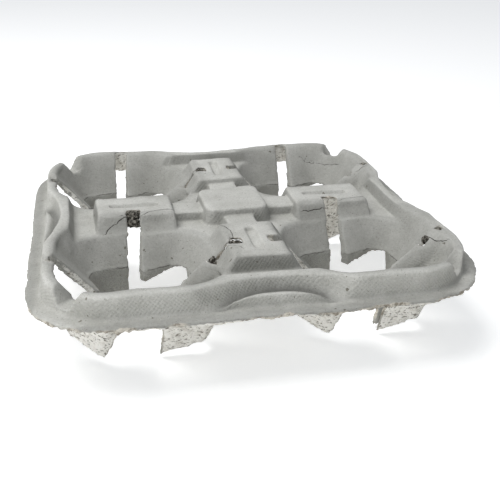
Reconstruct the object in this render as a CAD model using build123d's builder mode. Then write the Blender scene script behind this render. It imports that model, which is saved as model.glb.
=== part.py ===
from build123d import *
from math import cos, radians, sin
import os

# A moulded fibre carrier for four cups, one sheet of pulp formed over a mould.
# The origin is at the middle of the square that the tray stands on, +Z is up,
# and all lengths are in millimetres.

# The tray as a whole
tray_side = 212.0
corner_radius = 41.0
tray_height = 48.5
wall = 2.0

# The flat lip round the outside, and the rim that rises inside it
lip_height = 35.8
lip_width = 6.5
crest_height = 46.5
rim_lean = 1.5
crest_round = 1.6

# The lower deck, and the width of the rim at the middle of each side
deck_height = 39.5
deck_reach = 84.5
pocket_flare = 5.0
pocket_corner = 20.0

# The hollow along the middle of each side, between the crest and a ledge
scoop_depth = 7.0
scoop_length = 58.0
scoop_dip = 35.0
scoop_shoulder = 45.0
scoop_slope = 0.3
valley_height = 40.6
valley_width = 3.6
valley_round = 1.2
ledge_height = 41.4
ledge_width = 5.5
ledge_fall = 1.6

# The gap in the rim at each corner
notch_height = 38.5
notch_floor = 6.0
notch_mouth = 17.0
notch_start = 82.7
notch_length = 53.0

# The block in the middle, the four raised arms round it, and their saddles
block_side = 32.0
block_corner = 5.0
arm_start = 33.0
arm_end = 72.3
arm_width = 28.0
arm_drop = 0.8
arm_corner = 3.0
draft = 3.0
arm_side_draft = 7.5
saddle_height = 44.6
saddle_width = 15.0
top_round = 2.0

# The bead pressed into the top of each arm
bead_length = 26.0
bead_width = 4.6
bead_depth = 1.4

# The four cup wells: rounded squares that narrow to a crease, then a steep band
cell_pitch = 106.4
well_top = 50.0
well_top_reach = 43.0
well_top_corner = 30.0
crease_height = 25.5
crease_reach = 25.0
crease_corner = 7.0
crease_step = 0.7
foot_reach = 21.5
foot_corner = 4.0

# The slots that part each well into four flaps. A slot runs up to the middle arm
# on its back, left and right sides, and stops lower down on its front side
slot_width = 7.4
slot_shift = -1.0
arm_slot_stop = 6.4
rim_slot_stop = 95.6
front_slot_reach = 36.0
flap_wall = 2.4
return_depth = 3.0
torn_return_depth = 0.6
flap_trim = 0.5

# Beside the right-hand flaps the slot is a narrow cut with a wide head at each end
cut_width = 2.4
cut_shift = -1.6
head_length = 5.6
rim_head_length = 2.6

# Every flap has sprung round its own corner: one half leans in and the other
# spreads out, in degrees at the mouth, at the crease and at the foot
right_back_lean = (0.0, 22.0, 30.0)
right_back_spread = (0.0, 8.0, 14.0)
left_back_lean = (0.0, 18.0, 46.0)
left_back_spread = (0.0, 6.0, 10.0)
left_front_lean = (0.0, 30.0, 44.0)
left_front_spread = (8.0, 48.0, 50.0)
right_front_lean = (3.0, 79.0, 115.0)
right_front_spread = (0.0, 10.0, 0.0)

# How far the corner itself has moved at those three heights, away from the
# well's middle along the half that spreads and along the half that leans
no_shift = (0.0, 0.0, 0.0)
left_front_shift = ((0.0, 1.0, -1.0), (0.0, 0.0, -1.0))
right_front_shift = ((0.0, -1.0, -3.5), (0.0, 9.0, 3.0))

# Where each half ends, from the middle line of its slot
slot_half = slot_width / 2
full_slot = (slot_half, slot_half, slot_half)
right_back_plain_end = (0.6, 0.0, slot_half)
left_front_plain_end = (slot_half, 0.0, 0.0)
right_front_lean_end = (1.0, 1.3, 0.0)
right_front_plain_end = (slot_half, 5.0, 5.0)

# The torn lower edge of each half: its height at the slot, at the corner and beyond it
right_back_hem = (18.5, 24.8, 0.0)
left_back_hem = (12.0, 2.0, 2.0)
left_front_hem = (42.0, 4.5, 4.5)
left_front_side_hem = (20.0, 4.5, 4.5)
right_front_side_hem = (1.0, 4.5, 6.0)
no_hem = (0.0, 0.0, 0.0)
hem_reach = 20.0
right_back_hem_reach = 24.5
tear_step = 0.2

# Room to spare where a tool passes right through the sheet
clear = 5.0


def rounded_frustum(low, low_side, low_radius, high, high_side, high_radius):
    """A rounded square block that changes its size on the way up"""
    with BuildPart() as frustum:
        with BuildSketch(Plane.XY.offset(low)):
            RectangleRounded(low_side, low_side, low_radius)
        with BuildSketch(Plane.XY.offset(high)):
            RectangleRounded(high_side, high_side, high_radius)
        loft(ruled=True)
    return frustum.part


def bar(length, width, low, high, corner, end_draft, side_draft):
    """A straight raised bar with drafted sides, its length along X"""
    with BuildPart() as raised:
        with BuildSketch(Plane.XY.offset(low)):
            RectangleRounded(length + 2 * end_draft, width + 2 * side_draft, corner)
        with BuildSketch(Plane.XY.offset(high)):
            RectangleRounded(length, width, corner)
        loft(ruled=True)
    return raised.part


def scoop_tool(skin):
    """What the mould presses into the rim at the middle of the +X side, deeper at its ends"""
    crest_outer = tray_side / 2 - lip_width - rim_lean - scoop_depth - skin
    bend = (scoop_length**2 / 4 + scoop_depth**2) / (2 * scoop_depth)
    valley = crest_outer + valley_width
    ledge = valley + ledge_width
    far = ledge + clear
    top = tray_height + clear
    crest = (crest_outer + scoop_slope, scoop_shoulder - skin)
    valley_side = (crest_outer + valley_width * 0.45, valley_height + valley_round - skin)
    valley_floor = (valley, valley_height - skin)
    ledge_top = ((valley + ledge) / 2, ledge_height - skin)
    ledge_edge = (ledge, valley_height - ledge_fall - skin)
    with BuildPart() as tool:
        with BuildSketch(Plane.XZ):
            with BuildLine():
                Line((crest_outer - rim_lean, top), crest)
                ThreePointArc(crest, valley_side, valley_floor)
                ThreePointArc(valley_floor, ledge_top, ledge_edge)
                Line(ledge_edge, (far, ledge_edge[1]))
                Line((far, ledge_edge[1]), (far, top))
                Line((far, top), (crest_outer - rim_lean, top))
            make_face()
        dip = radians(scoop_dip)
        centre = (crest_outer + bend * cos(dip), 0, valley_height - bend * sin(dip))
        revolve(axis=Axis(centre, (sin(dip), 0, cos(dip))), revolution_arc=360)
    return tool.part


def notch_tool(skin):
    """The valley across the rim at the +X +Y corner"""
    across = Plane(origin=(notch_start, notch_start, 0), x_dir=(-1, 1, 0), z_dir=(1, 1, 0))
    floor = notch_floor / 2 + skin
    mouth = notch_mouth / 2 + skin
    with BuildPart() as tool:
        with BuildSketch(across):
            with BuildLine():
                Polyline(
                    (-mouth, tray_height),
                    (-floor, notch_height - skin),
                    (floor, notch_height - skin),
                    (mouth, tray_height),
                    close=True,
                )
            make_face()
        extrude(amount=notch_length)
    return tool.part


def tray_form(skin):
    """The tray's body under its top face, or under the face that lies one skin deeper"""
    low = lip_height - wall - (clear if skin else 0)
    rim_side = tray_side - 2 * lip_width
    rim_radius = corner_radius - lip_width
    inner = deck_reach + skin
    with BuildPart() as form:
        add(rounded_frustum(
            low, rim_side - 2 * skin, rim_radius - skin,
            crest_height - skin, rim_side - 2 * rim_lean - 2 * skin, rim_radius - rim_lean - skin,
        ))
        if not skin:
            crest = form.faces().sort_by(Axis.Z)[-1]
            fillet(crest.edges(), crest_round)
        add(rounded_frustum(
            deck_height - skin, 2 * inner, pocket_corner,
            tray_height + clear, 2 * inner + 2 * pocket_flare, pocket_corner,
        ), mode=Mode.SUBTRACT)
        with BuildPart(mode=Mode.PRIVATE) as arms:
            with PolarLocations((arm_start + arm_end) / 2, 4):
                add(bar(
                    arm_end - arm_start - 2 * skin, arm_width - 2 * skin, low,
                    tray_height - arm_drop - skin, arm_corner, draft, arm_side_draft,
                ))
            if not skin:
                tops = arms.faces().filter_by(Axis.Z).group_by(Axis.Z)[-1]
                fillet(tops.edges(), top_round)
        add(arms.part)
        with BuildPart(mode=Mode.PRIVATE) as block:
            add(bar(
                block_side - 2 * skin, block_side - 2 * skin, low, tray_height - skin,
                block_corner, draft, draft,
            ))
            if not skin:
                tops = block.faces().filter_by(Axis.Z).group_by(Axis.Z)[-1]
                fillet(tops.edges(), top_round)
        add(block.part)
        with PolarLocations(arm_start / 2, 4):
            add(bar(
                arm_start + 2 * draft, saddle_width - 2 * skin, low,
                saddle_height - skin, arm_corner, draft, draft,
            ))
        with PolarLocations(0, 4):
            add(scoop_tool(skin), mode=Mode.SUBTRACT)
            add(notch_tool(skin), mode=Mode.SUBTRACT)
        with BuildSketch(Plane.XY.offset(tray_height - arm_drop - bead_depth - skin)):
            with PolarLocations((arm_start + arm_end) / 2, 4):
                SlotOverall(bead_length + 2 * skin, bead_width + 2 * skin)
        extrude(amount=clear, mode=Mode.SUBTRACT)
    return form.part


def flap_section(height, reach, corner, lean, spread, shift, ends, turned_back):
    """The section of the flap in the +X +Y quarter of a well: the half on the +Y side leans in"""
    middle = reach - corner
    centre = Vector(middle + shift[0], middle + shift[1])
    leaning_length = centre.X - ends[0]
    plain_length = centre.Y - ends[1]
    outer = corner + flap_wall
    start, end = radians(spread), radians(90 + lean)
    plain = Vector(sin(start), -cos(start)) * plain_length
    plain_root = Vector(cos(start), sin(start))
    leaning = Vector(-sin(end), cos(end))
    out = Vector(cos(end), sin(end))
    tip = centre + out * corner + leaning * leaning_length
    hook = tip + out * (flap_wall + turned_back)
    with BuildSketch(Plane.XY.offset(height)) as section:
        with BuildLine():
            Line(centre + plain_root * corner + plain, centre + plain_root * corner)
            CenterArc((centre.X, centre.Y), corner, spread, 90 + lean - spread)
            Line(centre + out * corner, tip)
            Line(tip, hook)
            Line(hook, hook - leaning * flap_wall)
            Line(hook - leaning * flap_wall, tip + out * flap_wall - leaning * flap_wall)
            Line(tip + out * flap_wall - leaning * flap_wall, centre + out * outer)
            CenterArc((centre.X, centre.Y), outer, 90 + lean, spread - 90 - lean)
            Line(centre + plain_root * outer, centre + plain_root * outer + plain)
            Line(centre + plain_root * outer + plain, centre + plain_root * corner + plain)
        make_face()
    return section.sketch


def make_flap(lean, spread, hem=no_hem, side_hem=no_hem, reach=hem_reach,
              shift=(no_shift, no_shift), lean_end=full_slot, plain_end=full_slot,
              turned_back=return_depth):
    """One flap of a well, from its mouth down to its foot, in the +X +Y quarter"""
    band_reach = crease_reach - crease_step
    levels = (
        (well_top, well_top_reach, well_top_corner, 0),
        (crease_height, crease_reach, crease_corner, 1),
        (crease_height, band_reach, crease_corner, 1),
        (0, foot_reach, foot_corner, 2),
    )
    sections = [
        flap_section(
            height, side, corner, lean[level], spread[level],
            (shift[0][level], shift[1][level]), (lean_end[level], plain_end[level]), turned_back,
        )
        for height, side, corner, level in levels
    ]
    with BuildPart() as flap:
        loft(sections=[sections[1], sections[0]], ruled=True)
        loft(sections=[sections[3], sections[2]], ruled=True)
        for plane, tear in ((Plane.XZ, hem), (Plane.YZ, side_hem)):
            with BuildSketch(plane):
                with BuildLine():
                    Polyline(
                        (-clear, -2 * clear),
                        (-clear, tear[0]),
                        (0, tear[0]),
                        (reach, tear[1]),
                        (reach + tear_step, tear[2]),
                        (2 * reach, tear[2]),
                        (2 * reach, -2 * clear),
                        close=True,
                    )
                make_face()
            extrude(amount=tray_side / 4, both=True, mode=Mode.SUBTRACT)
    return flap.part


with BuildPart() as cup_carrier:
    add(tray_form(0))
    with BuildSketch(Plane.XY.offset(lip_height - wall)):
        RectangleRounded(tray_side, tray_side, corner_radius)
    extrude(amount=wall)
    add(tray_form(wall), mode=Mode.SUBTRACT)
    with GridLocations(cell_pitch, cell_pitch, 2, 2):
        add(rounded_frustum(
            crease_height, 2 * crease_reach, crease_corner,
            well_top, 2 * well_top_reach, well_top_corner,
        ), mode=Mode.SUBTRACT)
    slot_length = rim_slot_stop - arm_slot_stop
    left_slot = cell_pitch / 2 - arm_slot_stop
    front_slot = left_slot + front_slot_reach
    cut_length = slot_length - left_slot
    with BuildSketch():
        for row in (-cell_pitch / 2 + slot_shift, cell_pitch / 2 + slot_shift):
            with Locations((-rim_slot_stop, row), (arm_slot_stop, row)):
                Rectangle(left_slot, slot_width, align=(Align.MIN, Align.CENTER))
            with Locations((-arm_slot_stop, row)):
                Rectangle(head_length, slot_width, align=(Align.MAX, Align.CENTER))
            with Locations((rim_slot_stop, row)):
                Rectangle(rim_head_length, slot_width, align=(Align.MAX, Align.CENTER))
            with Locations((row, -arm_slot_stop), (row, rim_slot_stop)):
                Rectangle(slot_width, front_slot, align=(Align.CENTER, Align.MAX))
        for row in (-cell_pitch / 2 + cut_shift, cell_pitch / 2 + cut_shift):
            with Locations((-arm_slot_stop, row), (rim_slot_stop, row)):
                Rectangle(cut_length, cut_width, align=(Align.MAX, Align.CENTER))
    extrude(amount=tray_height + clear, mode=Mode.SUBTRACT)

with BuildPart() as room:
    add(tray_form(flap_trim))
    with BuildSketch(Plane.XY.offset(-clear)):
        RectangleRounded(tray_side - 2 * lip_width, tray_side - 2 * lip_width, corner_radius - lip_width)
    extrude(amount=lip_height - flap_trim + clear)

with cup_carrier:
    turned_flaps = (
        make_flap(
            right_back_lean, right_back_spread, right_back_hem,
            reach=right_back_hem_reach, plain_end=right_back_plain_end,
        ),
        make_flap(left_back_lean, left_back_spread, left_back_hem),
        make_flap(
            left_front_lean, left_front_spread, left_front_hem, left_front_side_hem,
            shift=left_front_shift, plain_end=left_front_plain_end,
        ),
        make_flap(
            right_front_lean, right_front_spread, side_hem=right_front_side_hem,
            shift=right_front_shift, lean_end=right_front_lean_end, plain_end=right_front_plain_end,
            turned_back=torn_return_depth,
        ),
    )
    for quarter, flap in enumerate(turned_flaps):
        for spot in GridLocations(cell_pitch, cell_pitch, 2, 2):
            with BuildPart(mode=Mode.PRIVATE) as trimmed:
                with Locations(spot * Location((slot_shift, slot_shift, 0), (0, 0, 90 * quarter))):
                    add(flap)
                add(room.part, mode=Mode.INTERSECT)
            add(trimmed.part)

cup_carrier.part.label = "cup_carrier"
os.makedirs("parts", exist_ok=True)
export_step(cup_carrier.part, "parts/cup_carrier.step")
print("cup carrier:", round(cup_carrier.part.volume / 1000, 1), "cubic centimetres")
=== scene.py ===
# %% [markdown]
# # A moulded fibre carrier for four cups
#
# The real thing is one sheet of paper pulp, about 2 mm thick. Wet pulp is sucked on to a
# wire screen mould and dried, so the face that lay on the mould is smooth and shows the
# screen, and the other face stays rough, like the inside of an egg box. The CAD solid
# already has every form of the sheet. Blender adds what pulp does to those forms: soft
# edges, slow waves, a rough back, torn rims on the cut flaps, and the colour of grey waste
# paper. The CAD node is hidden and one dressed sheet stands for it.

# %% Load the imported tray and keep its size
import math

import bmesh
import bpy
import numpy as np
from mathutils import Matrix, Vector, noise
from mathutils.bvhtree import BVHTree
from mathutils.kdtree import KDTree


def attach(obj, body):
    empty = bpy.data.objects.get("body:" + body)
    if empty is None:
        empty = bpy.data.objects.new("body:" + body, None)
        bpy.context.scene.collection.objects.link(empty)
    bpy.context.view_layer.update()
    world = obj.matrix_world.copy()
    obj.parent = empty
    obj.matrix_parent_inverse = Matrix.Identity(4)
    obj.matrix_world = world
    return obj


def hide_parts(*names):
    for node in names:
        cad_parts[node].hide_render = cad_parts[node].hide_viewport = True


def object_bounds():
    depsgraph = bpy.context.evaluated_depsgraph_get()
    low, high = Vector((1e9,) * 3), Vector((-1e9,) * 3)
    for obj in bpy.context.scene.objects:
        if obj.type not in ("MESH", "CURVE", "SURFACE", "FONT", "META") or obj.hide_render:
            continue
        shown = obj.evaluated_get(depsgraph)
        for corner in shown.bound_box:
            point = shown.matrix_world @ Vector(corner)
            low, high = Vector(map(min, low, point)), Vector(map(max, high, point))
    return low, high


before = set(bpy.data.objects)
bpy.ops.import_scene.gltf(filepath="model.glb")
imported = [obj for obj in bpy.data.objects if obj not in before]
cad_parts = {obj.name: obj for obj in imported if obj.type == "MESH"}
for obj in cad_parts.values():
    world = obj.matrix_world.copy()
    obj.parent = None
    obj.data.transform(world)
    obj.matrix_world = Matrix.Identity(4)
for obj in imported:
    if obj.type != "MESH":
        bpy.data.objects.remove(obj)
cad_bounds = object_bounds()
solid_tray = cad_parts["cup_carrier"]
scene = bpy.context.scene
scene.view_settings.view_transform = "Standard"
MM = 0.001
WALL = 2.0 * MM
print("solid tray:", len(solid_tray.data.polygons), "faces")

# %% [markdown]
# ## Camera
#
# The tray was photographed from its front left, from about 25 degrees above. A camera can
# be aimed with a Track To constraint, but a turned picture needs roll too, so the view is
# built from three angles: the compass direction, the tilt down, and a small roll. The
# focal length is the one at which the near and far corners shrink as they do in the photo.

# %% Place the camera
CAMERA_PLACE = Vector((-0.0727, -0.3549, 0.1859))
CAMERA_YAW = math.radians(13.15)
CAMERA_TILT = math.radians(25.02)
CAMERA_ROLL = math.radians(1.15)
CAMERA_LENS = 51.5
FILM_WIDTH = 36
NEAREST_SEEN = 0.01


def camera_axes(yaw, tilt, roll):
    """The camera's right, up and backward directions"""
    level = math.cos(tilt)
    forward = Vector((math.sin(yaw) * level, math.cos(yaw) * level, -math.sin(tilt)))
    right = Vector((math.cos(yaw), -math.sin(yaw), 0))
    up = right.cross(forward)
    turned_right = right * math.cos(roll) + up * math.sin(roll)
    turned_up = up * math.cos(roll) - right * math.sin(roll)
    return turned_right, turned_up, -forward


camera = bpy.data.objects.new("camera", bpy.data.cameras.new("camera"))
camera.data.lens = CAMERA_LENS
camera.data.sensor_width = FILM_WIDTH
camera.data.clip_start = NEAREST_SEEN
facing = Matrix(camera_axes(CAMERA_YAW, CAMERA_TILT, CAMERA_ROLL)).transposed()
camera.matrix_world = Matrix.Translation(CAMERA_PLACE) @ facing.to_4x4()
scene.collection.objects.link(camera)
scene.camera = camera
print("camera", round(CAMERA_PLACE.length, 3), "m from the middle of the tray")

# %% [markdown]
# ## Floor
#
# The tray stands on a white sheet that looks plain white in a photograph. A lamp strong
# enough for that would bleach the tray too, so the sheet glows a little instead. The
# camera and any shine see the full glow. The tray itself gets a weaker one, like the light
# that a real white sheet throws back up, and it reaches the feet and the underside. The
# soft shadow under the feet stays, because the sheet also takes the lamps' light.

# %% Make the floor
FLOOR_SIZE = 6.0
FLOOR_WHITE = (0.84, 0.84, 0.83, 1)
GLOW_COLOUR = (0.95, 0.97, 1, 1)
THROW_COLOUR = (1, 0.99, 0.97, 1)
FLOOR_GLOW = 0.50
FLOOR_THROW = 0.30


def node_of(tree, kind, place=(0, 0), **values):
    """Add a node, set its inputs by name, and give it back"""
    made = tree.nodes.new(kind)
    made.location = place
    for name, value in values.items():
        made.inputs[name.replace("_", " ")].default_value = value
    return made


def floor_material():
    """White to the camera, with the shadow kept"""
    material = bpy.data.materials.new("white_studio_sheet")
    material.use_nodes = True
    tree = material.node_tree
    tree.nodes.clear()
    link = tree.links.new
    output = node_of(tree, "ShaderNodeOutputMaterial", (600, 0))
    sheet = node_of(tree, "ShaderNodeBsdfDiffuse", (0, 100), Color=FLOOR_WHITE)
    glow = node_of(tree, "ShaderNodeEmission", (0, -100), Color=GLOW_COLOUR, Strength=FLOOR_GLOW)
    thrown = node_of(tree, "ShaderNodeEmission", (0, -250), Color=THROW_COLOUR, Strength=FLOOR_THROW)
    path = node_of(tree, "ShaderNodeLightPath", (-250, 100))
    seen = node_of(tree, "ShaderNodeMath", (-50, 300))
    seen.operation = "MAXIMUM"
    mix = node_of(tree, "ShaderNodeMixShader", (200, -100))
    total = node_of(tree, "ShaderNodeAddShader", (400, 0))
    link(path.outputs["Is Camera Ray"], seen.inputs[0])
    link(path.outputs["Is Glossy Ray"], seen.inputs[1])
    link(seen.outputs[0], mix.inputs[0])
    link(thrown.outputs[0], mix.inputs[1])
    link(glow.outputs[0], mix.inputs[2])
    link(sheet.outputs[0], total.inputs[0])
    link(mix.outputs[0], total.inputs[1])
    link(total.outputs[0], output.inputs["Surface"])
    return material


half = FLOOR_SIZE / 2
floor_corners = [(-half, -half, 0), (half, -half, 0), (half, half, 0), (-half, half, 0)]
floor_mesh = bpy.data.meshes.new("studio_floor")
floor_mesh.from_pydata(floor_corners, [], [(0, 1, 2, 3)])
floor = bpy.data.objects.new("studio_floor", floor_mesh)
floor_mesh.materials.append(floor_material())
scene.collection.objects.link(floor)
print("floor", FLOOR_SIZE, "m across")

# %% [markdown]
# ## Sky
#
# Round the tray is a dim pale dome, darker at the skyline than overhead. A picture of a
# studio could do the same, but a dome from two strengths is enough for a matt thing that
# reflects nothing. Light comes in from the sky, so its direction points down: its height
# is 0 at the skyline and -1 overhead. The camera sees plain white, as behind the real tray.

# %% Make the sky
SKY_COLOUR = (0.95, 0.97, 1.0, 1)
SKY_SKYLINE = 0.20
SKY_OVERHEAD = 0.40
LEVEL_WAY, DOWN_WAY = 0, -1

world = bpy.data.worlds.new("studio")
world.use_nodes = True
scene.world = world
sky = world.node_tree
sky.nodes.clear()
sky_out = node_of(sky, "ShaderNodeOutputWorld", (600, 0))
sky_light = node_of(sky, "ShaderNodeBackground", (200, 100), Color=SKY_COLOUR)
sky_way = node_of(sky, "ShaderNodeNewGeometry", (-600, 100))
sky_parts = node_of(sky, "ShaderNodeSeparateXYZ", (-400, 100))
sky_height = node_of(sky, "ShaderNodeMapRange", (-200, 100), From_Min=LEVEL_WAY, From_Max=DOWN_WAY)
sky_height.inputs["To Min"].default_value = SKY_SKYLINE
sky_height.inputs["To Max"].default_value = SKY_OVERHEAD
sky_seen = node_of(sky, "ShaderNodeBackground", (200, -100), Color=(1, 1, 1, 1), Strength=1)
sky_path = node_of(sky, "ShaderNodeLightPath", (0, 250))
sky_mix = node_of(sky, "ShaderNodeMixShader", (400, 0))
sky.links.new(sky_way.outputs["Incoming"], sky_parts.inputs[0])
sky.links.new(sky_parts.outputs["Z"], sky_height.inputs["Value"])
sky.links.new(sky_height.outputs["Result"], sky_light.inputs["Strength"])
sky.links.new(sky_path.outputs["Is Camera Ray"], sky_mix.inputs[0])
sky.links.new(sky_light.outputs[0], sky_mix.inputs[1])
sky.links.new(sky_seen.outputs[0], sky_mix.inputs[2])
sky.links.new(sky_mix.outputs[0], sky_out.inputs["Surface"])
print("sky", SKY_SKYLINE, "at the skyline and", SKY_OVERHEAD, "overhead")

# %% [markdown]
# ## Lamps
#
# One large soft lamp hangs over the tray and a little to the left, so the tops are pale,
# the wells are darker, and the flaps that face right are darkest. Sun light would give
# hard shadows that the photo doesn't have. A low card of light at the front left reaches
# under the lip to the rough feet.

# %% Light the tray
KEY_POWER = 9.4
KEY_SIZE = 0.75
KEY_PLACE = Vector((-0.46, 0.02, 1.08))
KEY_COLOUR = (1.0, 0.995, 0.985)
LOW_POWER = 3.5
LOW_SIZE = 0.45
LOW_PLACE = Vector((-0.62, -0.76, 0.05))
LOW_COLOUR = (1, 1, 1)
AIM = Vector((0, 0, 0.03))


def soft_lamp(name, place, size, power, colour):
    """A square lamp that looks at the middle of the tray"""
    lamp = bpy.data.objects.new(name, bpy.data.lights.new(name, "AREA"))
    lamp.data.shape = "SQUARE"
    lamp.data.size = size
    lamp.data.energy = power
    lamp.data.color = colour
    lamp.location = place
    lamp.rotation_euler = (AIM - place).to_track_quat("-Z", "Y").to_euler()
    scene.collection.objects.link(lamp)
    return lamp


soft_lamp("key_lamp", KEY_PLACE, KEY_SIZE, KEY_POWER, KEY_COLOUR)
soft_lamp("low_card", LOW_PLACE, LOW_SIZE, LOW_POWER, LOW_COLOUR)
print("lamps", KEY_POWER, "and", LOW_POWER, "W")

# %% [markdown]
# ## The sheet of pulp
#
# The CAD solid has sharp edges and large flat faces. Bevels on a thousand edges would be
# fragile, so the solid is rebuilt as a voxel mesh: even small faces everywhere, and edges
# that are rounded by about one voxel, which is what a screen mould does to wet pulp. The
# same even mesh then takes the waves, tears and roughness.

# %% Rebuild the solid as an even mesh
VOXEL = 0.72 * MM
SAME_POINT = 0.001 * MM


def applied(piece):
    """Turn what the modifiers give into the piece's own mesh"""
    graph = bpy.context.evaluated_depsgraph_get()
    mesh = bpy.data.meshes.new_from_object(piece.evaluated_get(graph))
    old = piece.data
    piece.modifiers.clear()
    piece.data = mesh
    mesh.name = piece.name
    bpy.data.meshes.remove(old)
    return piece


tray = bpy.data.objects.new("moulded_fibre_tray", solid_tray.data.copy())
scene.collection.objects.link(tray)
tray.data.materials.clear()
weld = tray.modifiers.new("join", "WELD")
weld.merge_threshold = SAME_POINT
remesh = tray.modifiers.new("even_mesh", "REMESH")
remesh.mode = "VOXEL"
remesh.voxel_size = VOXEL
remesh.use_smooth_shade = True
applied(tray)
print("even mesh:", len(tray.data.vertices), "points")

# %% [markdown]
# ## Points as numbers
#
# The mesh has so many points that handling them one by one is slow. So they are read into
# arrays, worked on all together where that can be done, and written back at the end. A
# search tree over the faces answers where a ray from any point hits the sheet.

# %% Read the points and their directions
def rows_of(collection, name):
    """One vector for each item of a mesh collection, as rows"""
    flat = np.empty(len(collection) * 3, np.float32)
    collection.foreach_get(name, flat)
    return flat.reshape(-1, 3).astype(float)


points = rows_of(tray.data.vertices, "co")
normals = rows_of(tray.data.vertex_normals, "vector")
height = points[:, 2]
sheet_faces = [tuple(face.vertices) for face in tray.data.polygons]
sheet = BVHTree.FromPolygons([point for point in points], sheet_faces)
print("box:", np.round(points.min(axis=0) / MM, 1), np.round(points.max(axis=0) / MM, 1), "mm")

# %% [markdown]
# ## How much sky a place sees
#
# The smooth face looks up and the rough back looks down, but a sheet this folded has faces
# at every angle, so a direction alone doesn't tell them apart. What does is the sky. Twelve
# rays go up from a place, in two rings and one straight, and the share that gets away says
# how open it is. The same share later tells how deep in a well a place is.

# %% Look for the sky
SKY_RINGS = ((28, 4), (56, 7))
FAR = 0.3

sky_rays = [Vector((0, 0, 1))]
for ring, count in SKY_RINGS:
    for turn in range(count):
        tilt, angle = math.radians(ring), 2 * math.pi * (turn + 0.5 * (count % 2)) / count
        level = math.sin(tilt)
        sky_rays.append(Vector((level * math.cos(angle), level * math.sin(angle), math.cos(tilt))))


def sky_seen_from(place):
    """The share of the rays that leave the tray upwards"""
    free = sum(1 for ray in sky_rays if sheet.ray_cast(place, ray, FAR)[0] is None)
    return free / len(sky_rays)


print("sky rays:", len(sky_rays))

# %% [markdown]
# ## Which side of the sheet is which
#
# The smooth face and the rough back need different finishes, and the cut edges a third.
# They could be painted by hand, but the shape knows. For every fifth point a ray goes
# straight in. If it comes out after about one wall, the point is on a face, and the side
# that sees more of the sky is the smooth one. If it doesn't, and the sheet is also thin
# across the ray, the point is on a cut edge. If it is thick across, as under a rim's crest,
# the point belongs to whichever side the sky says.

# %% Sort a share of the points into face, back and cut edge
SAMPLE_STEP = 5
SHEET_DEPTH = 3.4 * MM
EDGE_PROBE = 1.2 * MM
EDGE_THICKNESS = 3.1 * MM
PROBE_REACH = 10 * MM
NEAR = 0.25 * MM
SKY_OF_A_BACK = 0.25


def thickness_across(place, out):
    """How thick the sheet is across the ray that went straight in, at its thinnest"""
    inside = place - out * EDGE_PROBE
    first = out.orthogonal().normalized()
    second = out.cross(first)
    thinnest = math.inf
    for turn in range(4):
        angle = math.pi * turn / 4
        across = first * math.cos(angle) + second * math.sin(angle)
        hits = [sheet.ray_cast(inside, way, PROBE_REACH)[3] for way in (across, -across)]
        thinnest = min(thinnest, sum(hit or PROBE_REACH for hit in hits))
    return thinnest


samples = range(0, len(points), SAMPLE_STEP)
back_of, edge_of, sky_of = (np.zeros(len(samples)) for _ in range(3))
for row, index in enumerate(samples):
    here, out = Vector(points[index]), Vector(normals[index])
    behind_here = sheet.ray_cast(here - out * NEAR, -out, SHEET_DEPTH)[0]
    mine = sky_seen_from(here + out * NEAR)
    sky_of[row] = mine
    if behind_here is None:
        edge_of[row] = thickness_across(here, out) < EDGE_THICKNESS
        back_of[row] = float(mine < SKY_OF_A_BACK)
        continue
    other = sky_seen_from(behind_here - out * NEAR)
    back_of[row] = 0.5 if mine == other else float(mine < other)
print("sorted:", len(samples), "points, on cut edges:", int(edge_of.sum()))

# %% [markdown]
# ## From a share of the points to all of them
#
# Every point takes the mean of the seven sorted points nearest to it. The two sides of the
# sheet lie only 2 mm apart and would mix, so the places are first moved out along their
# directions, which parts them. A second search tree gives each point's distance to the
# nearest cut edge.

# %% Spread the sorting to every point
SIDE_OFFSET = 1.6 * MM
NEIGHBOURS = 7


def finder_of(places, numbers):
    """A tree that finds the nearest of some places"""
    finder = KDTree(len(numbers))
    for place, number in zip(places, numbers):
        finder.insert(Vector(place), int(number))
    finder.balance()
    return finder


parted = points + normals * SIDE_OFFSET
side_finder = finder_of(parted[::SAMPLE_STEP], range(len(samples)))
back, edge, painted_occlusion = (np.zeros(len(points)) for _ in range(3))
for index, place in enumerate(parted):
    near = [hit[1] for hit in side_finder.find_n(Vector(place), NEIGHBOURS)]
    back[index] = back_of[near].mean()
    edge[index] = edge_of[near].mean()
    # The less sky a place sees, the more shade is painted into its face later
    painted_occlusion[index] = 1 - sky_of[near].mean()
edge_rows = np.flatnonzero(edge_of)
edge_finder = finder_of(points[edge_rows * SAMPLE_STEP], edge_rows)
from_edge = np.array([edge_finder.find(Vector(place))[2] for place in points])
print("rough back:", round(float((back > 0.5).mean()), 2), "of the points")
print("cut edge:", round(float((edge > 0.5).mean()), 2), "of the points")

# %% [markdown]
# ## Where the wells, arms and beads are
#
# The next steps treat each part of the tray in its own way, so the script has to know where
# a point lies. Vertex groups drawn by hand would do, but two formulas follow the CAD's own
# forms: how far a point is from the bead in the nearest arm, and how far it is outside the
# wall of the nearest well, which widens and rounds its corners as it rises.

# %% Measure from the beads and the wells
WELL_MIDDLE = 53.2 * MM
WELL_FOOT_MM, WELL_RISE_MM = 25.5, 24.5
WELL_REACH_MM, WELL_FLARE_MM = 25, 18
WELL_CORNER_MM, CORNER_FLARE_MM = 7, 23
WELL_RIM = (0.8 * MM, 3.0 * MM)
ARM_MIDDLE = 52.65 * MM
BEAD_HALF = 10.7 * MM


def smooth_step(values, low, high):
    """0 below low, 1 above high, and an even curve between"""
    share = np.clip((values - low) / (high - low), 0, 1)
    return share * share * (3 - 2 * share)


def from_bead(places):
    """The level distance from every point to the middle line of the nearest bead"""
    along, across = np.abs(places[:, 0]), np.abs(places[:, 1])
    along, across = np.maximum(along, across), np.minimum(along, across)
    beyond = np.maximum(np.abs(along - ARM_MIDDLE) - BEAD_HALF, 0)
    return np.hypot(beyond, across)


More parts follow.
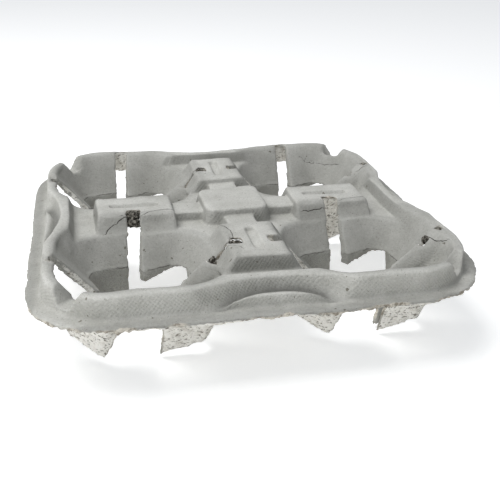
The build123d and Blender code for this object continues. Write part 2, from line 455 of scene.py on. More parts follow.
def outside_well(places):
    """How far outside the nearest well's wall every point is, minus inside it"""
    rise = np.clip((places[:, 2] / MM - WELL_FOOT_MM) / WELL_RISE_MM, 0, 1)
    reach = (WELL_REACH_MM + WELL_FLARE_MM * rise) * MM
    corner = (WELL_CORNER_MM + CORNER_FLARE_MM * rise) * MM
    beyond = np.abs(np.abs(places[:, :2]) - WELL_MIDDLE) - (reach - corner)[:, None]
    outer = np.hypot(*np.maximum(beyond, 0).T)
    return outer + np.minimum(beyond.max(axis=1), 0) - corner


bead_distance = from_bead(points)
well_distance = outside_well(points)
in_well = 1 - smooth_step(well_distance, *WELL_RIM)
from_middle = np.abs(points[:, :2]).max(axis=1)
along_side = np.abs(points[:, :2]).min(axis=1)
print("in the wells:", round(float((in_well > 0.5).mean()), 2), "of the points")

# %% [markdown]
# ## How soft each place is
#
# Pulp can't follow a sharp mould: every rim is a soft roll and every foot of a wall a
# hollow curve. But not every part is equally soft. The rim and the saddles are softest. The
# arms, the scoops and the lip are firmer, the wells keep their folded flaps crisp, and the
# cut edges and the beads in the arms hardly take part.

# %% Say how much each place is rounded
EDGE_SHARE = 0.10
WELL_SHARE = 0.05
CREST_SHARE = 0.50
SCOOP_SHARE = 0.35
LIP_SHARE = 0.25
ARM_SHARE = 0.50
BEAD_SHARE = 0.20
CREST_RISE = (42 * MM, 45 * MM)
BEAD_LEVEL = 43.8 * MM
BEAD_REACH = 6 * MM
SCOOP_START = 88 * MM
SCOOP_HALF = 34 * MM
LIP_LEVEL = 39 * MM
LIP_CLEAR = 3 * MM
ARM_END = 86 * MM
ARM_LEVEL = 38 * MM
EDGE_FADE = (0.8 * MM, 2.5 * MM)

on_arm_top = (height > BEAD_LEVEL) & (bead_distance < BEAD_REACH)
crest = smooth_step(height, *CREST_RISE)
softness = 1 - in_well * (1 - WELL_SHARE - (CREST_SHARE - WELL_SHARE) * crest)
in_scoop = (from_middle > SCOOP_START) & (along_side < SCOOP_HALF)
softness[in_scoop] = np.minimum(softness[in_scoop], SCOOP_SHARE)
by_lip = (height < LIP_LEVEL) & (well_distance > LIP_CLEAR)
softness[by_lip] = np.minimum(softness[by_lip], LIP_SHARE)
softness *= 1 - (1 - EDGE_SHARE) * (1 - smooth_step(from_edge, *EDGE_FADE))
softness[on_arm_top] *= BEAD_SHARE
on_arms = (from_middle < ARM_END) & (height > ARM_LEVEL) & (in_well < 0.5) & ~on_arm_top
softness[on_arms] *= ARM_SHARE
print("softness:", round(float(softness.min()), 3), "to", round(float(softness.max()), 3))

# %% [markdown]
# ## Soft forms
#
# Plain smoothing rounds an edge but also shrinks the sheet and eats its free edges. So each
# round of smoothing is followed by a slightly stronger step back, and together they round
# what is small and keep what is large. Blender's Smooth modifier has no such step back, so
# the rounds are done here on the arrays, each point by its own softness.

# %% Round the rims, corners and feet of the walls
SOFT_ROUNDS = 60
SOFT_STEP = 0.50
STEP_BACK = -0.5102


def smoothed(mesh, places, shares):
    """Take out the small bends of the mesh and keep the large ones"""
    pairs = np.empty(len(mesh.edges) * 2, np.int32)
    mesh.edges.foreach_get("vertices", pairs)
    first, second = pairs.reshape(-1, 2).T
    ends = np.concatenate((first, second))
    others = np.concatenate((second, first))
    count = np.bincount(ends, minlength=len(places))[:, None]
    places = places.copy()
    for step in (SOFT_STEP, STEP_BACK) * SOFT_ROUNDS:
        sums = [np.bincount(ends, places[others, axis], len(places)) for axis in range(3)]
        places += step * shares[:, None] * (np.stack(sums, axis=1) / count - places)
    return places


soft = smoothed(tray.data, points, softness)
print("largest rounding:", round(float(np.abs(soft - points).max() / MM), 2), "mm")

# %% [markdown]
# ## Beads and scoop valleys
#
# A long bead is pressed into the top of each arm, and a scoop into the middle of each side,
# where a thumb goes under the rim. Smoothing fills these narrow hollows a little, so they
# are pressed in again: the beads from their formula, and a soft valley along the curved
# foot of each scoop.

# %% Press the beads and valleys in again
ARM_TOP = 47.7 * MM
BEAD_DEPTH = 2.2 * MM
BEAD_WALL = (1.3 * MM, 2.9 * MM)
BEAD_FIELD = 4.6 * MM
ABOVE_WALL = 0.3 * MM
UNDERSIDE = -0.2
VALLEY_REACH = 93.6 * MM
VALLEY_WIDTH = 2.0 * MM
VALLEY_DEPTH = 1.8 * MM
VALLEY_LEVEL = 36 * MM
VALLEY_ENDS = (20 * MM, 31 * MM)
SCOOP_BEND = 63.6 * MM

press = BEAD_DEPTH * (1 - smooth_step(bead_distance, *BEAD_WALL))
bead_field = on_arm_top & (bead_distance < BEAD_FIELD)
upper = bead_field & (height > ARM_TOP - WALL + ABOVE_WALL)
lower = bead_field & ~upper & (normals[:, 2] < UNDERSIDE)
from_valley = from_middle - (VALLEY_REACH + along_side**2 / (2 * SCOOP_BEND))
hollow = np.exp(-(from_valley / VALLEY_WIDTH) ** 2) * (1 - smooth_step(along_side, *VALLEY_ENDS))
soft[:, 2] -= VALLEY_DEPTH * hollow * (height > VALLEY_LEVEL)
soft[upper, 2] = ARM_TOP - press[upper]
soft[lower, 2] = ARM_TOP - WALL - press[lower]
print("pressed:", int(upper.sum()), "points on top and", int(lower.sum()), "below")

# %% [markdown]
# ## Soft waves
#
# Pulp shrinks as it dries, so no panel stays quite flat and no rim quite straight. A
# lattice could bend the whole tray, but the waves here are slow and small: smooth noise
# moves every point a little, and both faces of the sheet by the same amount, because the
# noise is read at the place and not at the face.

# %% Bend the sheet a little
WAVES = ((45 * MM, 0.9 * MM), (17 * MM, 0.45 * MM), (7 * MM, 0.16 * MM))


def slow_wave(places, size, seed):
    """Smooth noise between -1 and 1 that changes over one wave size"""
    shift = Vector((seed * 7.31, seed * 3.17, seed * 5.73))
    return np.array([noise.noise(Vector(place) / size + shift) for place in places])


moved = soft.copy()
for order, (size, swing) in enumerate(WAVES):
    for axis in range(3):
        moved[:, axis] += swing * slow_wave(points, size, 1 + 3 * order + axis)
print("largest bend:", round(float(np.abs(moved - soft).max() / MM), 2), "mm")

# %% [markdown]
# ## Rough back and torn edges
#
# The back is covered in clots of fibre, most of them under a millimetre high. The cut edges
# are torn rather than sawn: the fibres let go at different lengths. Both are moved in or out
# along the normal, the back by layered noise, the edge by sharper noise with longer
# steps. The sheet also thins out towards its edges, where less pulp settled. Finer fibre
# than the mesh can hold is left to the material's bump.

# %% Roughen the back and tear the edges
BACK_HEIGHT = 0.50 * MM
FACE_HEIGHT = 0.08 * MM
TEAR_DEPTH = 1.4 * MM
TEAR_SHIFT = 0.15
TEAR_LIMIT = 0.25
EDGE_TAPER = 0.85 * MM
TAPER_REACH = 4.0 * MM
BACK_FADE = (0.3, 0.8)
BACK_CLOT = 3.4 * MM
FACE_CLOT = 5.0 * MM
TEAR_CLOT = 2.6 * MM
LAYER_FADE, LAYER_STEP = 0.9, 2.1


def clots(places, size, seed, octaves=3):
    """Layered noise for clots of fibre"""
    shift = Vector((seed * 2.71, seed * 9.13, seed * 4.37))
    spots = (Vector(place) / size + shift for place in places)
    return np.array([noise.fractal(spot, LAYER_FADE, LAYER_STEP, octaves) for spot in spots])


coarse = clots(points, BACK_CLOT, 1)
fine = clots(points, FACE_CLOT, 2, 4)
tears = clots(points, TEAR_CLOT, 3, 2)
push = back * BACK_HEIGHT * coarse + (1 - back) * FACE_HEIGHT * fine
push = push * (1 - edge) + edge * TEAR_DEPTH * np.minimum(tears - TEAR_SHIFT, TEAR_LIMIT)
push -= EDGE_TAPER * smooth_step(back, *BACK_FADE) * (1 - smooth_step(from_edge, 0, TAPER_REACH))
moved += normals * push[:, None]
print("back is", round(float(np.abs(push[back > 0.9]).max() / MM), 2), "mm rough at most")

# %% [markdown]
# ## Flat slot ends and a burr
#
# The thin ends beside the two left rim slots would stand up as knobs, so they are pressed
# nearly flat, as a hand that tears the slot presses them. Where the lip was trimmed, a
# fringe of torn fibre hangs below its edge. It could be hair, but at this size it is only a
# ragged line, so the edge itself is drawn down in places.

# %% Flatten the slot ends and hang the burr
KNOB_SPAN = (-97.5 * MM, -89 * MM)
KNOB_SHIFT = 1 * MM
KNOB_HALF = 7 * MM
KNOB_EDGE = 3 * MM
KNOB_LEVEL = 44.8 * MM
KNOB_LEFT = 0.3
BURR = 1.5 * MM
BURR_SIZE = 6 * MM
BURR_START = 0.25
BURR_EDGE = 2.5 * MM
BURR_LEVELS = (31 * MM, 34.9 * MM)
BURR_REACH = 103 * MM

from_slot = np.abs(np.abs(moved[:, 1] + KNOB_SHIFT) - WELL_MIDDLE)
knobs = (moved[:, 0] > KNOB_SPAN[0]) & (moved[:, 0] < KNOB_SPAN[1]) & (from_slot < KNOB_HALF)
knobs &= (from_edge < KNOB_EDGE) & (moved[:, 2] > KNOB_LEVEL)
moved[knobs, 2] = KNOB_LEVEL + KNOB_LEFT * (moved[knobs, 2] - KNOB_LEVEL)
burr = (from_edge < BURR_EDGE) & (from_middle > BURR_REACH)
burr &= (height > BURR_LEVELS[0]) & (height < BURR_LEVELS[1])
moved[burr, 2] -= BURR * np.clip(clots(points[burr], BURR_SIZE, 4) - BURR_START, 0, 1)
print("flattened:", int(knobs.sum()), "points, burr:", int(burr.sum()), "points")

# %% [markdown]
# ## Cracks at the folds
#
# Each flap was bent where it leaves an arm, and the dry sheet cracked there in short
# crooked lines. They are far thinner than the mesh, so they aren't cut into it. Each point
# keeps its distance to the nearest line, counted minus on one side, and the material draws
# the crack where that number passes through nought.

# %% Mark where the sheet has cracked
CRACK_REACH = 4.0 * MM
CRACKS = (
    ((-50, -13, 46), (-45, -11, 47), (-40, -9.5, 47.5), (-32, -9.5, 47)),
    ((-52, -12.5, 46.5), (-59, -13.6, 46.4), (-66, -15.8, 42.4), (-69, -17.2, 40)),
    ((57, -12, 46), (62, -10.5, 47), (76, -10, 47.5)),
    ((36.5, -15.1, 43.6), (41, -15.3, 43.9), (46, -14.6, 44)),
    ((-12, -36, 47), (-9, -43, 47.5), (-9.5, -49, 47)),
    ((-14, -57, 45), (-8.5, -63, 47)),
    ((-14, 49, 45), (-8.5, 44, 47)),
    ((68, 84, 37), (78, 80, 36), (85, 74, 38)),
    ((64, 86, 40.5), (72, 83.5, 39.5), (80, 79, 40.5)),
    ((-52, 96.3, 41), (-46, 96.6, 44.5), (-38.5, 96.6, 46.3), (-28, 94.8, 46.4)),
    ((84, -55, 42.5), (87.3, -58.1, 43.1), (89.2, -63.2, 42.6), (92.5, -67.5, 45.2)),
    ((86, 45, 43.5), (90.2, 45.1, 44.8), (94, 45.3, 46.5)),
)


def from_line(start, end):
    """Each point's distance to a line, and the same number minus on the line's right side"""
    along = end - start
    share = np.clip((points - start) @ along / (along @ along), 0, 1)
    offset = points - (start + share[:, None] * along)
    distance = np.linalg.norm(offset, axis=1)
    side = np.einsum("ij,ij->i", offset, np.cross(normals, along / np.linalg.norm(along)))
    return distance, np.sign(side) * distance


crack_side = np.full(len(points), CRACK_REACH)
nearest = np.full(len(points), CRACK_REACH)
for line in CRACKS:
    bends = np.array(line) * MM
    for start, end in zip(bends[:-1], bends[1:]):
        distance, signed = from_line(start, end)
        closer = distance < nearest
        nearest[closer] = distance[closer]
        crack_side[closer] = signed[closer]
print("cracks:", len(CRACKS), "near", int((nearest < CRACK_REACH).sum()), "points")

# %% [markdown]
# ## Painted shade and frayed places
#
# Shade is painted into the face's colour where shade falls: down in the wells, along the
# valleys of the scoops, on the lip, and on the steep walls of the arms. And where a
# flap at the left of a well was torn free, its edge is turned over and shows a strip of the
# rough back. Both are shares between 0 and 1 that the material reads, worked out from where
# each point lies.

# %% Say where shade is painted and where the pulp is frayed
WELL_PAINTED_SHADE = 0.20
SCOOP_PAINTED_SHADE = 0.52
LIP_PAINTED_SHADE = 0.26
WALL_PAINTED_SHADE = 0.24
INNER_REACH = 88 * MM
WALL_LEVEL = 37 * MM
STEEP = 0.6
LIP_START = (99.5 * MM, 102 * MM)
LIP_STEP = (36.6 * MM, 38 * MM)
FRAY_START = -9 * MM
FRAY_LEVEL = 43.5 * MM
FRAY_WIDTH = 3.6 * MM
FRAY_INWARD = 1.2 * MM
FRAY_OUTWARD = 0.4 * MM

inner_wall = (from_middle < INNER_REACH) & (height > WALL_LEVEL) & (np.abs(normals[:, 2]) < STEEP)
on_lip = smooth_step(from_middle, *LIP_START) * (1 - smooth_step(height, *LIP_STEP))
painted_shade_shares = (WELL_PAINTED_SHADE * in_well, SCOOP_PAINTED_SHADE * hollow, LIP_PAINTED_SHADE * on_lip, WALL_PAINTED_SHADE * inner_wall)
# Painted shade: how much each place's face is darkened towards black
painted_shade = np.maximum.reduce(painted_shade_shares)
from_well_middle = moved[:, 0] - np.sign(moved[:, 0]) * WELL_MIDDLE
left_flap = (from_well_middle < FRAY_START) & (in_well > 0.5) & (height < FRAY_LEVEL)
beyond_strip = smooth_step(from_edge, FRAY_WIDTH - FRAY_INWARD, FRAY_WIDTH + FRAY_OUTWARD)
frayed = left_flap * (1 - beyond_strip)
print("strongest_painted_shade:", round(float(painted_shade.max()), 2), "frayed:", int((frayed > 0.5).sum()), "points")

# %% [markdown]
# ## Keeping the size
#
# Whatever the pulp does, the tray has the CAD's size. The points are held inside its box,
# so a wave can't lift a rim or push a foot through the floor. Then the mesh keeps its
# numbers as attributes, because a material can read those at every point, and it is
# thinned where it is flat, so that it stays light enough for a parts library.

# %% Hold the sheet inside the tray's size
BOX_MARGIN = 0.02 * MM
FACE_LIMIT = 195000


def store(name, values):
    """Keep one number per point for the material to read"""
    layer = tray.data.attributes.new(name, "FLOAT", "POINT")
    layer.data.foreach_set("value", np.asarray(values, np.float32))


def triangles_in(mesh):
    """How many triangles a mesh has once each face is cut into them"""
    return sum(len(face.vertices) - 2 for face in mesh.polygons)


low, high = (np.array(corner, float) for corner in cad_bounds)
moved = np.clip(moved, low + BOX_MARGIN, high - BOX_MARGIN)
tray.data.vertices.foreach_set("co", moved.astype(np.float32).ravel())
tray.data.update()
store("rough_back", np.maximum(back, frayed))
store("torn_edge", edge)
store("painted_occlusion", painted_occlusion)
store("painted_shade", painted_shade)
store("crack_side", crack_side / MM)
store("crack_near", 1 - nearest / CRACK_REACH)
if triangles_in(tray.data) > FACE_LIMIT:
    thin = tray.modifiers.new("fewer_faces", "DECIMATE")
    thin.ratio = FACE_LIMIT / triangles_in(tray.data)
    applied(tray)
for face in tray.data.polygons:
    face.use_smooth = True
print("sheet:", triangles_in(tray.data), "triangles")

# %% [markdown]
# ## A bench for the materials
#
# A material is a tree of nodes, and each node takes several lines to add, set and join.
# The bench holds one material and adds each kind of node in one line, so that the cells
# below can be read as recipes.

# %% Set up the bench
class Bench:
    """One new material, with a short way to add each kind of node"""

    def __init__(self, name):
        self.material = bpy.data.materials.new(name)
        self.material.use_nodes = True
        self.tree = self.material.node_tree
        self.tree.nodes.clear()
        self.link = self.tree.links.new
        self.where = self.add("ShaderNodeTexCoord", (-1400, 0)).outputs["Object"]

    def add(self, kind, place, **values):
        """Any node, with its inputs set by name"""
        return node_of(self.tree, kind, place, **values)

    def fill(self, socket, value):
        """Put a number, a colour or another node's output into a socket"""
        if isinstance(value, (int, float, tuple)):
            socket.default_value = value
        elif value is not None:
            self.link(value, socket)

    def noise(self, scale, detail, place, rough=0.55, at=None):
        """Cloudy noise, read at the tray's own coordinates unless others are given"""
        texture = self.add("ShaderNodeTexNoise", place, Scale=scale, Detail=detail, Roughness=rough)
        self.link(self.where if at is None else at, texture.inputs["Vector"])
        return texture.outputs["Fac"]

    def ramp(self, value, span, place):
        """0 at the span's start, 1 at its end, and straight between"""
        made = self.add("ShaderNodeMapRange", place, From_Min=span[0], From_Max=span[1])
        self.link(value, made.inputs["Value"])
        return made.outputs["Result"]

    def mixed(self, factor, first, second, place, blend="MIX"):
        """The first colour, with the second over it by the factor"""
        made = self.add("ShaderNodeMix", place)
        made.data_type = "RGBA"
        made.blend_type = blend
        self.fill(made.inputs["Factor"], factor)
        self.fill(made.inputs[6], first)
        self.fill(made.inputs[7], second)
        return made.outputs[2]

    def maths(self, operation, first, second, place, third=None):
        """A sum on one, two or three numbers"""
        made = self.add("ShaderNodeMath", place)
        made.operation = operation
        for socket, value in zip(made.inputs, (first, second, third)):
            self.fill(socket, value)
        return made.outputs[0]

    def stored(self, name, place):
        """A number that the mesh keeps at each of its points"""
        made = self.add("ShaderNodeAttribute", place)
        made.attribute_name = name
        return made.outputs["Fac"]


pulp = Bench("grey_moulded_pulp")
print("bench ready for", pulp.material.name)

# %% [markdown]
# ## The smooth face
#
# Grey pulp is de-inked newspaper and board, so it is never one grey: there are darker and
# paler clots, fine specks, single dark fibres and a few chips of board. A photograph of
# paper could be wrapped round the tray, but it would stretch on the walls. Noise that is
# read in all three directions has no seams.

# %% Colour the smooth face
FACE_PALE = (0.645, 0.645, 0.615, 1)
FACE_DARK = (0.470, 0.470, 0.440, 1)
FIBRE_DARK = (0.250, 0.240, 0.205, 1)
CLOUDS, SPECKS, FIBRES, CHIPS = 60, 900, 1900, 310
CLOUD_SHARE, SPECK_SHARE, TONE_SHIFT = 0.75, 0.7, -0.22
TONE_SPAN = (0.30, 0.70)
FIBRE_SPAN = (0.66, 0.74)
CHIP_SPAN = (0.735, 0.765)

clouds = pulp.noise(CLOUDS, 4, (-1100, 500))
specks = pulp.noise(SPECKS, 4, (-1100, 300), rough=0.7)
fibres = pulp.noise(FIBRES, 2, (-1100, 100), rough=0.4)
chips = pulp.noise(CHIPS, 2, (-1100, 0), rough=0.4)
shade = pulp.maths("MULTIPLY_ADD", clouds, CLOUD_SHARE, (-900, 500), TONE_SHIFT)
tone = pulp.maths("MULTIPLY_ADD", specks, SPECK_SHARE, (-700, 450), shade)
face_colour = pulp.mixed(pulp.ramp(tone, TONE_SPAN, (-500, 450)), FACE_DARK, FACE_PALE, (-300, 450))
for grain, span, row in ((fibres, FIBRE_SPAN, 200), (chips, CHIP_SPAN, 50)):
    shown = pulp.ramp(grain, span, (-500, row))
    face_colour = pulp.mixed(shown, face_colour, FIBRE_DARK, (-100, 200 + row))
print("smooth face:", len(pulp.tree.nodes), "nodes")

# %% [markdown]
# ## The rough back and the torn edges
#
# The back never touched the screen. It is creamier, with pits, strands and short
# wrinkles between the clots, longer across than they are high, because the wet pulp sagged,
# and painted shade makes the wrinkles dark. A Voronoi pattern gives a closed net, which
# looks like dried mud, so the wrinkles are the peaks of a noise that is squeezed in height
# and bent by another. The torn edges are a dull brown mix of the same pits, whose dark end
# is partly painted shade.

# %% Colour the back and the torn edges
BACK_PALE = (0.860, 0.850, 0.810, 1)
BACK_DARK = (0.640, 0.620, 0.565, 1)
WRINKLE_SHADE = (0.150, 0.135, 0.105, 1)
TORN_PALE = (0.660, 0.625, 0.555, 1)
TORN_DARK_AND_SHADE = (0.270, 0.245, 0.200, 1)
PITS, STRANDS, BENDS, WRINKLES = 420, 160, 210, 560
PIT_SHARE, STRAND_SHARE, WRINKLE_SHARE = 0.6, 0.5, 0.85
SQUEEZE = (1, 1, 2.1)
BEND_REACH = (0.006, 0.006, 0.006)
BACK_SPAN = (0.42, 0.58)
WRINKLE_SPAN = (0.57, 0.63)
TORN_SPAN = (0.42, 0.56)

pits = pulp.noise(PITS, 5, (-1100, -100), rough=0.65)
strands = pulp.noise(STRANDS, 6, (-1100, -250), rough=0.6)
strand_shade = pulp.maths("MULTIPLY", strands, STRAND_SHARE, (-900, -300))
back_shade = pulp.maths("MULTIPLY_ADD", pits, PIT_SHARE, (-800, -150), strand_shade)
back_colour = pulp.mixed(pulp.ramp(back_shade, BACK_SPAN, (-600, -150)), BACK_DARK, BACK_PALE, (-300, -150))

squeezed = pulp.add("ShaderNodeVectorMath", (-1200, -1450))
squeezed.operation = "MULTIPLY"
squeezed.inputs[1].default_value = SQUEEZE
bending = pulp.add("ShaderNodeTexNoise", (-1250, -1300), Scale=BENDS, Detail=3)
bent = pulp.add("ShaderNodeVectorMath", (-1000, -1300))
bent.operation = "MULTIPLY_ADD"
bent.inputs[1].default_value = BEND_REACH
pulp.link(pulp.where, squeezed.inputs[0])
pulp.link(pulp.where, bending.inputs["Vector"])
pulp.link(bending.outputs["Color"], bent.inputs[0])
pulp.link(squeezed.outputs[0], bent.inputs[2])
wrinkle_noise = pulp.noise(WRINKLES, 3, (-800, -1300), rough=0.5, at=bent.outputs[0])
wrinkle = pulp.ramp(wrinkle_noise, WRINKLE_SPAN, (-600, -1300))
# Painted shade: the wrinkles' grooves are darkened as the shade in them
painted_wrinkle_shade = pulp.maths("MULTIPLY", wrinkle, WRINKLE_SHARE, (-200, -1300))
back_colour = pulp.mixed(painted_wrinkle_shade, back_colour, WRINKLE_SHADE, (-100, -150))
# The torn colour's dark end is partly the fibre's own brown and partly painted shade on the cut edges
torn_colour = pulp.mixed(pulp.ramp(pits, TORN_SPAN, (-600, -350)), TORN_DARK_AND_SHADE, TORN_PALE, (-300, -350))
print("back and edges:", len(pulp.tree.nodes), "nodes")

# %% [markdown]
# ## Cracks and the crease
#
# A crack is drawn where the stored side number, shaken by a little noise, is close to
# nought. Low in each well, a crease runs round where the flaps were first folded. It lies
# at one height, so it needs no stored number: it is drawn where the height, shaken by the
# same noise, is close to the crease's, and a slow noise leaves gaps in it. Both are drawn
# in a near-black colour that is painted shade, the shade inside a crack or a fold.

# %% Draw the cracks and the crease
CREASE_MM = 25.2
WOBBLE = 330
CRACK_WOBBLE, CREASE_WOBBLE = 1.6, 1.8
CRACK_WIDTH = (0.30, 0.12)
CRACK_ENDS = (0.35, 0.60)
CREASE_WIDTH = (0.34, 0.14)
CREASE_GAPS, GAP_SPAN = 75, (0.44, 0.52)
CREASE_SHARE = 0.6

wobble = pulp.noise(WOBBLE, 3, (-1100, 900))
shaken = pulp.maths("MULTIPLY_ADD", wobble, CRACK_WOBBLE, (-600, 900), -CRACK_WOBBLE / 2)
crack_line = pulp.maths("ADD", pulp.stored("crack_side", (-900, 1050)), shaken, (-400, 950))
crack_gap = pulp.maths("ABSOLUTE", crack_line, None, (-200, 950))
crack_here = pulp.ramp(pulp.stored("crack_near", (-900, 1200)), CRACK_ENDS, (-600, 1200))
crack = pulp.maths("MULTIPLY", pulp.ramp(crack_gap, CRACK_WIDTH, (0, 950)), crack_here, (200, 1000))

axes = pulp.add("ShaderNodeSeparateXYZ", (-1100, -900))
pulp.link(pulp.where, axes.inputs[0])
crease_middle = -CREASE_MM - CREASE_WOBBLE / 2
from_crease = pulp.maths("MULTIPLY_ADD", axes.outputs["Z"], 1 / MM, (-900, 750), crease_middle)
from_crease = pulp.maths("MULTIPLY_ADD", wobble, CREASE_WOBBLE, (-700, 750), from_crease)
from_crease = pulp.maths("ABSOLUTE", from_crease, None, (-500, 750))
crease_here = pulp.ramp(pulp.noise(CREASE_GAPS, 2, (-700, 620)), GAP_SPAN, (-500, 620))
crease = pulp.ramp(from_crease, CREASE_WIDTH, (-300, 750))
crease = pulp.maths("MULTIPLY", crease, crease_here, (-100, 750))
faint_crease = pulp.maths("MULTIPLY", crease, CREASE_SHARE, (100, 750))
lines = pulp.maths("MAXIMUM", crack, faint_crease, (400, 900))
print("lines:", len(pulp.tree.nodes), "nodes")

# %% [markdown]
# ## One colour from all of them
#
# The raised tops stay pale, and shade is painted into the face where little sky reaches it.
# So the face's colour is first multiplied down by how little sky it sees, then darkened by
# the stored painted shade, then the lines are drawn over it in the near black of painted
# shade. At last the stored sides choose between face, back and torn edge.

# %% Put the colours together
FACE_PAINTED_OCCLUSION = (0.680, 0.680, 0.660, 1)
PLAIN = (1, 1, 1, 1)
BLACK = (0, 0, 0, 1)
CRACK_SHADE_COLOUR = (0.045, 0.042, 0.036, 1)
PAINTED_OCCLUSION_SPAN = (0.05, 0.75)
BACK_SPLIT = (0.35, 0.65)
TORN_SPLIT = (0.30, 0.75)
LINE_SHARE = 0.9

# Painted shade: the face is darkened by how little sky it sees, as in the wells
painted_occlusion_share = pulp.ramp(pulp.stored("painted_occlusion", (-1400, -300)), PAINTED_OCCLUSION_SPAN, (-1100, 650))
painted_occlusion_tint = pulp.mixed(painted_occlusion_share, PLAIN, FACE_PAINTED_OCCLUSION, (-300, 620))
face_colour = pulp.mixed(1.0, face_colour, painted_occlusion_tint, (0, 500), "MULTIPLY")
# Painted shade: the stored share darkens the face towards black
face_colour = pulp.mixed(pulp.stored("painted_shade", (-100, 700)), face_colour, BLACK, (50, 600))
# Painted shade: the cracks and the crease are darkened as the shade inside them
painted_line_shade = pulp.maths("MULTIPLY", lines, LINE_SHARE, (500, 800))
face_colour = pulp.mixed(painted_line_shade, face_colour, CRACK_SHADE_COLOUR, (100, 400))
behind = pulp.ramp(pulp.stored("rough_back", (-1400, -500)), BACK_SPLIT, (-1100, -500))
torn = pulp.ramp(pulp.stored("torn_edge", (-1400, -700)), TORN_SPLIT, (-1100, -700))
colour = pulp.mixed(behind, face_colour, back_colour, (300, 200))
colour = pulp.mixed(torn, colour, torn_colour, (500, 200))
print("colour:", len(pulp.tree.nodes), "nodes")

# %% [markdown]
# ## The weave of the screen
#
# The wire screen of the mould leaves a fine diagonal weave in the smooth face. It is
# clearest on steep walls, where the pulp was sucked hard against the wire and isn't rubbed
# off. Two sine waves that run up and down the walls cross each other, and their height
# grows as the surface gets steeper.

# %% Press the screen into the relief
SCREEN_PITCH = 1.9 * MM
WALL_WEAVE, TOP_WEAVE = 0.50, 0.05
STEEP_SPAN = (0.60, 0.25)

level_way = pulp.maths("ADD", axes.outputs["X"], axes.outputs["Y"], (-900, -900))
wires = []
for row, operation in ((-900, "ADD"), (-1050, "SUBTRACT")):
    way = pulp.maths(operation, level_way, axes.outputs["Z"], (-750, row))
    turns = pulp.maths("MULTIPLY", way, 2 * math.pi / SCREEN_PITCH, (-600, row))
    wires.append(pulp.maths("SINE", turns, None, (-450, row)))
weave = pulp.maths("ADD", *wires, (-350, -900))
facing_way = pulp.add("ShaderNodeNewGeometry", (-900, -750))
facing_parts = pulp.add("ShaderNodeSeparateXYZ", (-700, -750))
pulp.link(facing_way.outputs["Normal"], facing_parts.inputs[0])
upward = pulp.maths("ABSOLUTE", facing_parts.outputs["Z"], None, (-500, -750))
on_walls = pulp.ramp(upward, STEEP_SPAN, (-300, -750))
weave_height = pulp.maths("MULTIPLY_ADD", on_walls, WALL_WEAVE, (-150, -750), TOP_WEAVE)
screen = pulp.maths("MULTIPLY", weave, weave_height, (-300, -900))
print("screen:", round(SCREEN_PITCH / MM, 2), "mm between wires")

# %% [markdown]
# ## Relief and surface
#
# What is finer than the mesh is bump: on the face the weave, specks and shallow dents, with
# the lines cut in, and on the back the pits and wrinkles, many times stronger. Pulp is matt
# all over, so the surface is nearly rough to the limit and has little shine.

# %% Finish the pulp's material
DENTS = 150
SPECK_RELIEF, DENT_RELIEF, LINE_RELIEF = 2.0, 5.0, -2.5
BACK_RELIEF, WRINKLE_RELIEF = 14.0, -3.0
BUMP_STRENGTH = 0.6
BUMP_DISTANCE = 0.17 * MM
PULP_ROUGHNESS = 0.92
PULP_SHINE = 0.18

dents = pulp.noise(DENTS, 5, (-1100, -1000), rough=0.6)
face_relief = pulp.maths("MULTIPLY_ADD", specks, SPECK_RELIEF, (-200, -900), screen)
face_relief = pulp.maths("MULTIPLY_ADD", dents, DENT_RELIEF, (-100, -900), face_relief)
face_relief = pulp.maths("MULTIPLY_ADD", lines, LINE_RELIEF, (0, -950), face_relief)
wrinkle_relief = pulp.maths("MULTIPLY", wrinkle, WRINKLE_RELIEF, (-250, -1150))
back_relief = pulp.maths("MULTIPLY_ADD", back_shade, BACK_RELIEF, (-100, -1100), wrinkle_relief)
relief = pulp.add("ShaderNodeMix", (300, -900))
pulp.link(pulp.maths("MAXIMUM", behind, torn, (100, -700)), relief.inputs["Factor"])
pulp.link(face_relief, relief.inputs[2])
pulp.link(back_relief, relief.inputs[3])
bump = pulp.add("ShaderNodeBump", (700, -600), Strength=BUMP_STRENGTH, Distance=BUMP_DISTANCE)
surface = pulp.add("ShaderNodeBsdfPrincipled", (1100, 0), Roughness=PULP_ROUGHNESS)
surface.inputs["Specular IOR Level"].default_value = PULP_SHINE
output = pulp.add("ShaderNodeOutputMaterial", (1400, 0))
pulp.link(relief.outputs[0], bump.inputs["Height"])
pulp.link(bump.outputs["Normal"], surface.inputs["Normal"])
pulp.link(colour, surface.inputs["Base Color"])
pulp.link(surface.outputs[0], output.inputs["Surface"])
tray.data.materials.clear()
tray.data.materials.append(pulp.material)
print("material:", pulp.material.name, "with", len(pulp.tree.nodes), "nodes")

# %% [markdown]
# ## Crumpled fibre in the slots
#
# Where a slot was torn open at an arm or a rim, a wad of fibre is left hanging in its head.
# It could be modelled as strands, but from a hand's length away it reads as one dark
# crumpled lump, so each wad is a small ball that is flattened, pushed about by coarse noise
# and sunk into the slot's edge.

# %% Hang the wads in the slot heads
WADS = (
    ((-54.0, -8.6, 44.6), (4.6, 2.6, 2.6)),
    ((-54.0, -10.8, 41.4), (4.4, 1.6, 2.4)),
    ((-9.6, -54.4, 45.0), (3.4, 4.4, 1.7)),
    ((-9.6, 52.2, 45.2), (3.0, 4.2, 1.5)),
    ((97.2, -54.6, 43.6), (1.8, 3.6, 1.8)),
    ((97.2, 51.8, 43.6), (1.8, 3.6, 1.8)),
    ((-19.3, -52.0, 36.4), (2.4, 2.4, 2.2)),
    ((86.4, -57.9, 41.4), (2.4, 2.2, 2.2)),
)
WAD_ROUGH = 0.30
WAD_LUMP = 2.2
LUMP_FADE, LUMP_STEP, LUMP_LAYERS = 0.8, 2.0, 4

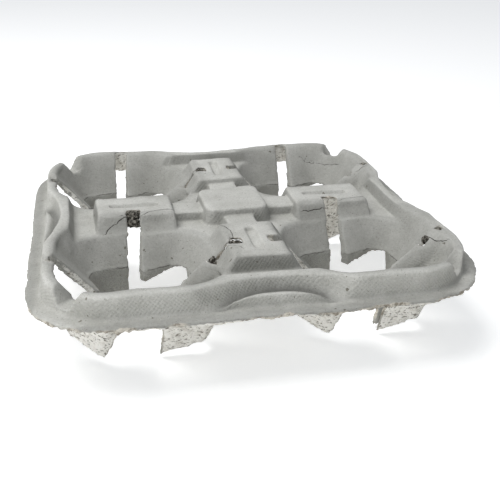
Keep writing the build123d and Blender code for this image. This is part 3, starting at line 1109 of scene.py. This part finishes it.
wad_points, wad_faces = [], []
ball = bmesh.new()
bmesh.ops.create_icosphere(ball, subdivisions=4, radius=1)
for middle, size in WADS:
    start = len(wad_points)
    for corner in ball.verts:
        seat = Vector(middle) + Vector([corner.co[axis] * size[axis] for axis in range(3)])
        swell = noise.fractal(seat / WAD_LUMP, LUMP_FADE, LUMP_STEP, LUMP_LAYERS) * WAD_ROUGH
        swollen = Vector([corner.co[axis] * size[axis] * swell for axis in range(3)])
        wad_points.append((seat + swollen) * MM)
    wad_faces += [[start + corner.index for corner in face.verts] for face in ball.faces]
ball.free()
wad_mesh = bpy.data.meshes.new("crumpled_wads")
wad_mesh.from_pydata(wad_points, [], wad_faces)
wads = bpy.data.objects.new("crumpled_wads", wad_mesh)
scene.collection.objects.link(wads)
for face in wad_mesh.polygons:
    face.use_smooth = True
print("wads:", len(WADS), "with", len(wad_faces), "triangles")

# %% [markdown]
# ## The wads' fibre
#
# This pulp never lay on the mould. It is a brown grey with pale strands, painted near
# black where it stands for the shade inside the torn slot heads. A colour ramp is used here
# instead of a plain mix, because it sets how much of the lump is dark.

# %% Colour the wads
WAD_SHADE_DARK, DARK_END = (0.035, 0.032, 0.027, 1), 0.46
WAD_PALE, PALE_START = (0.46, 0.44, 0.39, 1), 0.70
WAD_STRANDS = 700
WAD_BUMP_STRENGTH = 0.8
WAD_BUMP = 0.3 * MM
WAD_ROUGHNESS = 0.95
WAD_SHINE = 0.1

fibre = Bench("crumpled_fibre")
strand_noise = fibre.noise(WAD_STRANDS, 5, (-700, 0), rough=0.7)
shades = fibre.add("ShaderNodeValToRGB", (-400, 0))
dark_stop, pale_stop = shades.color_ramp.elements
# The near-black stop is painted shade, the shade inside the slot heads
dark_stop.position = DARK_END
dark_stop.color = WAD_SHADE_DARK
pale_stop.position = PALE_START
pale_stop.color = WAD_PALE
wad_bump = fibre.add("ShaderNodeBump", (-200, -250), Strength=WAD_BUMP_STRENGTH, Distance=WAD_BUMP)
wad_surface = fibre.add("ShaderNodeBsdfPrincipled", (0, 0), Roughness=WAD_ROUGHNESS)
wad_surface.inputs["Specular IOR Level"].default_value = WAD_SHINE
wad_output = fibre.add("ShaderNodeOutputMaterial", (300, 0))
fibre.link(strand_noise, shades.inputs["Fac"])
fibre.link(strand_noise, wad_bump.inputs["Height"])
fibre.link(shades.outputs["Color"], wad_surface.inputs["Base Color"])
fibre.link(wad_bump.outputs["Normal"], wad_surface.inputs["Normal"])
fibre.link(wad_surface.outputs[0], wad_output.inputs["Surface"])
wad_mesh.materials.append(fibre.material)
print("material:", fibre.material.name)

# %% [markdown]
# ## The finished pieces
#
# The dressed sheet and its wads ride on the only body, and the CAD node is hidden, so the
# sheet stands for it.

# %% Join the pieces to the frame and finish
for piece in (tray, wads):
    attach(piece, "root")
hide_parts("cup_carrier")
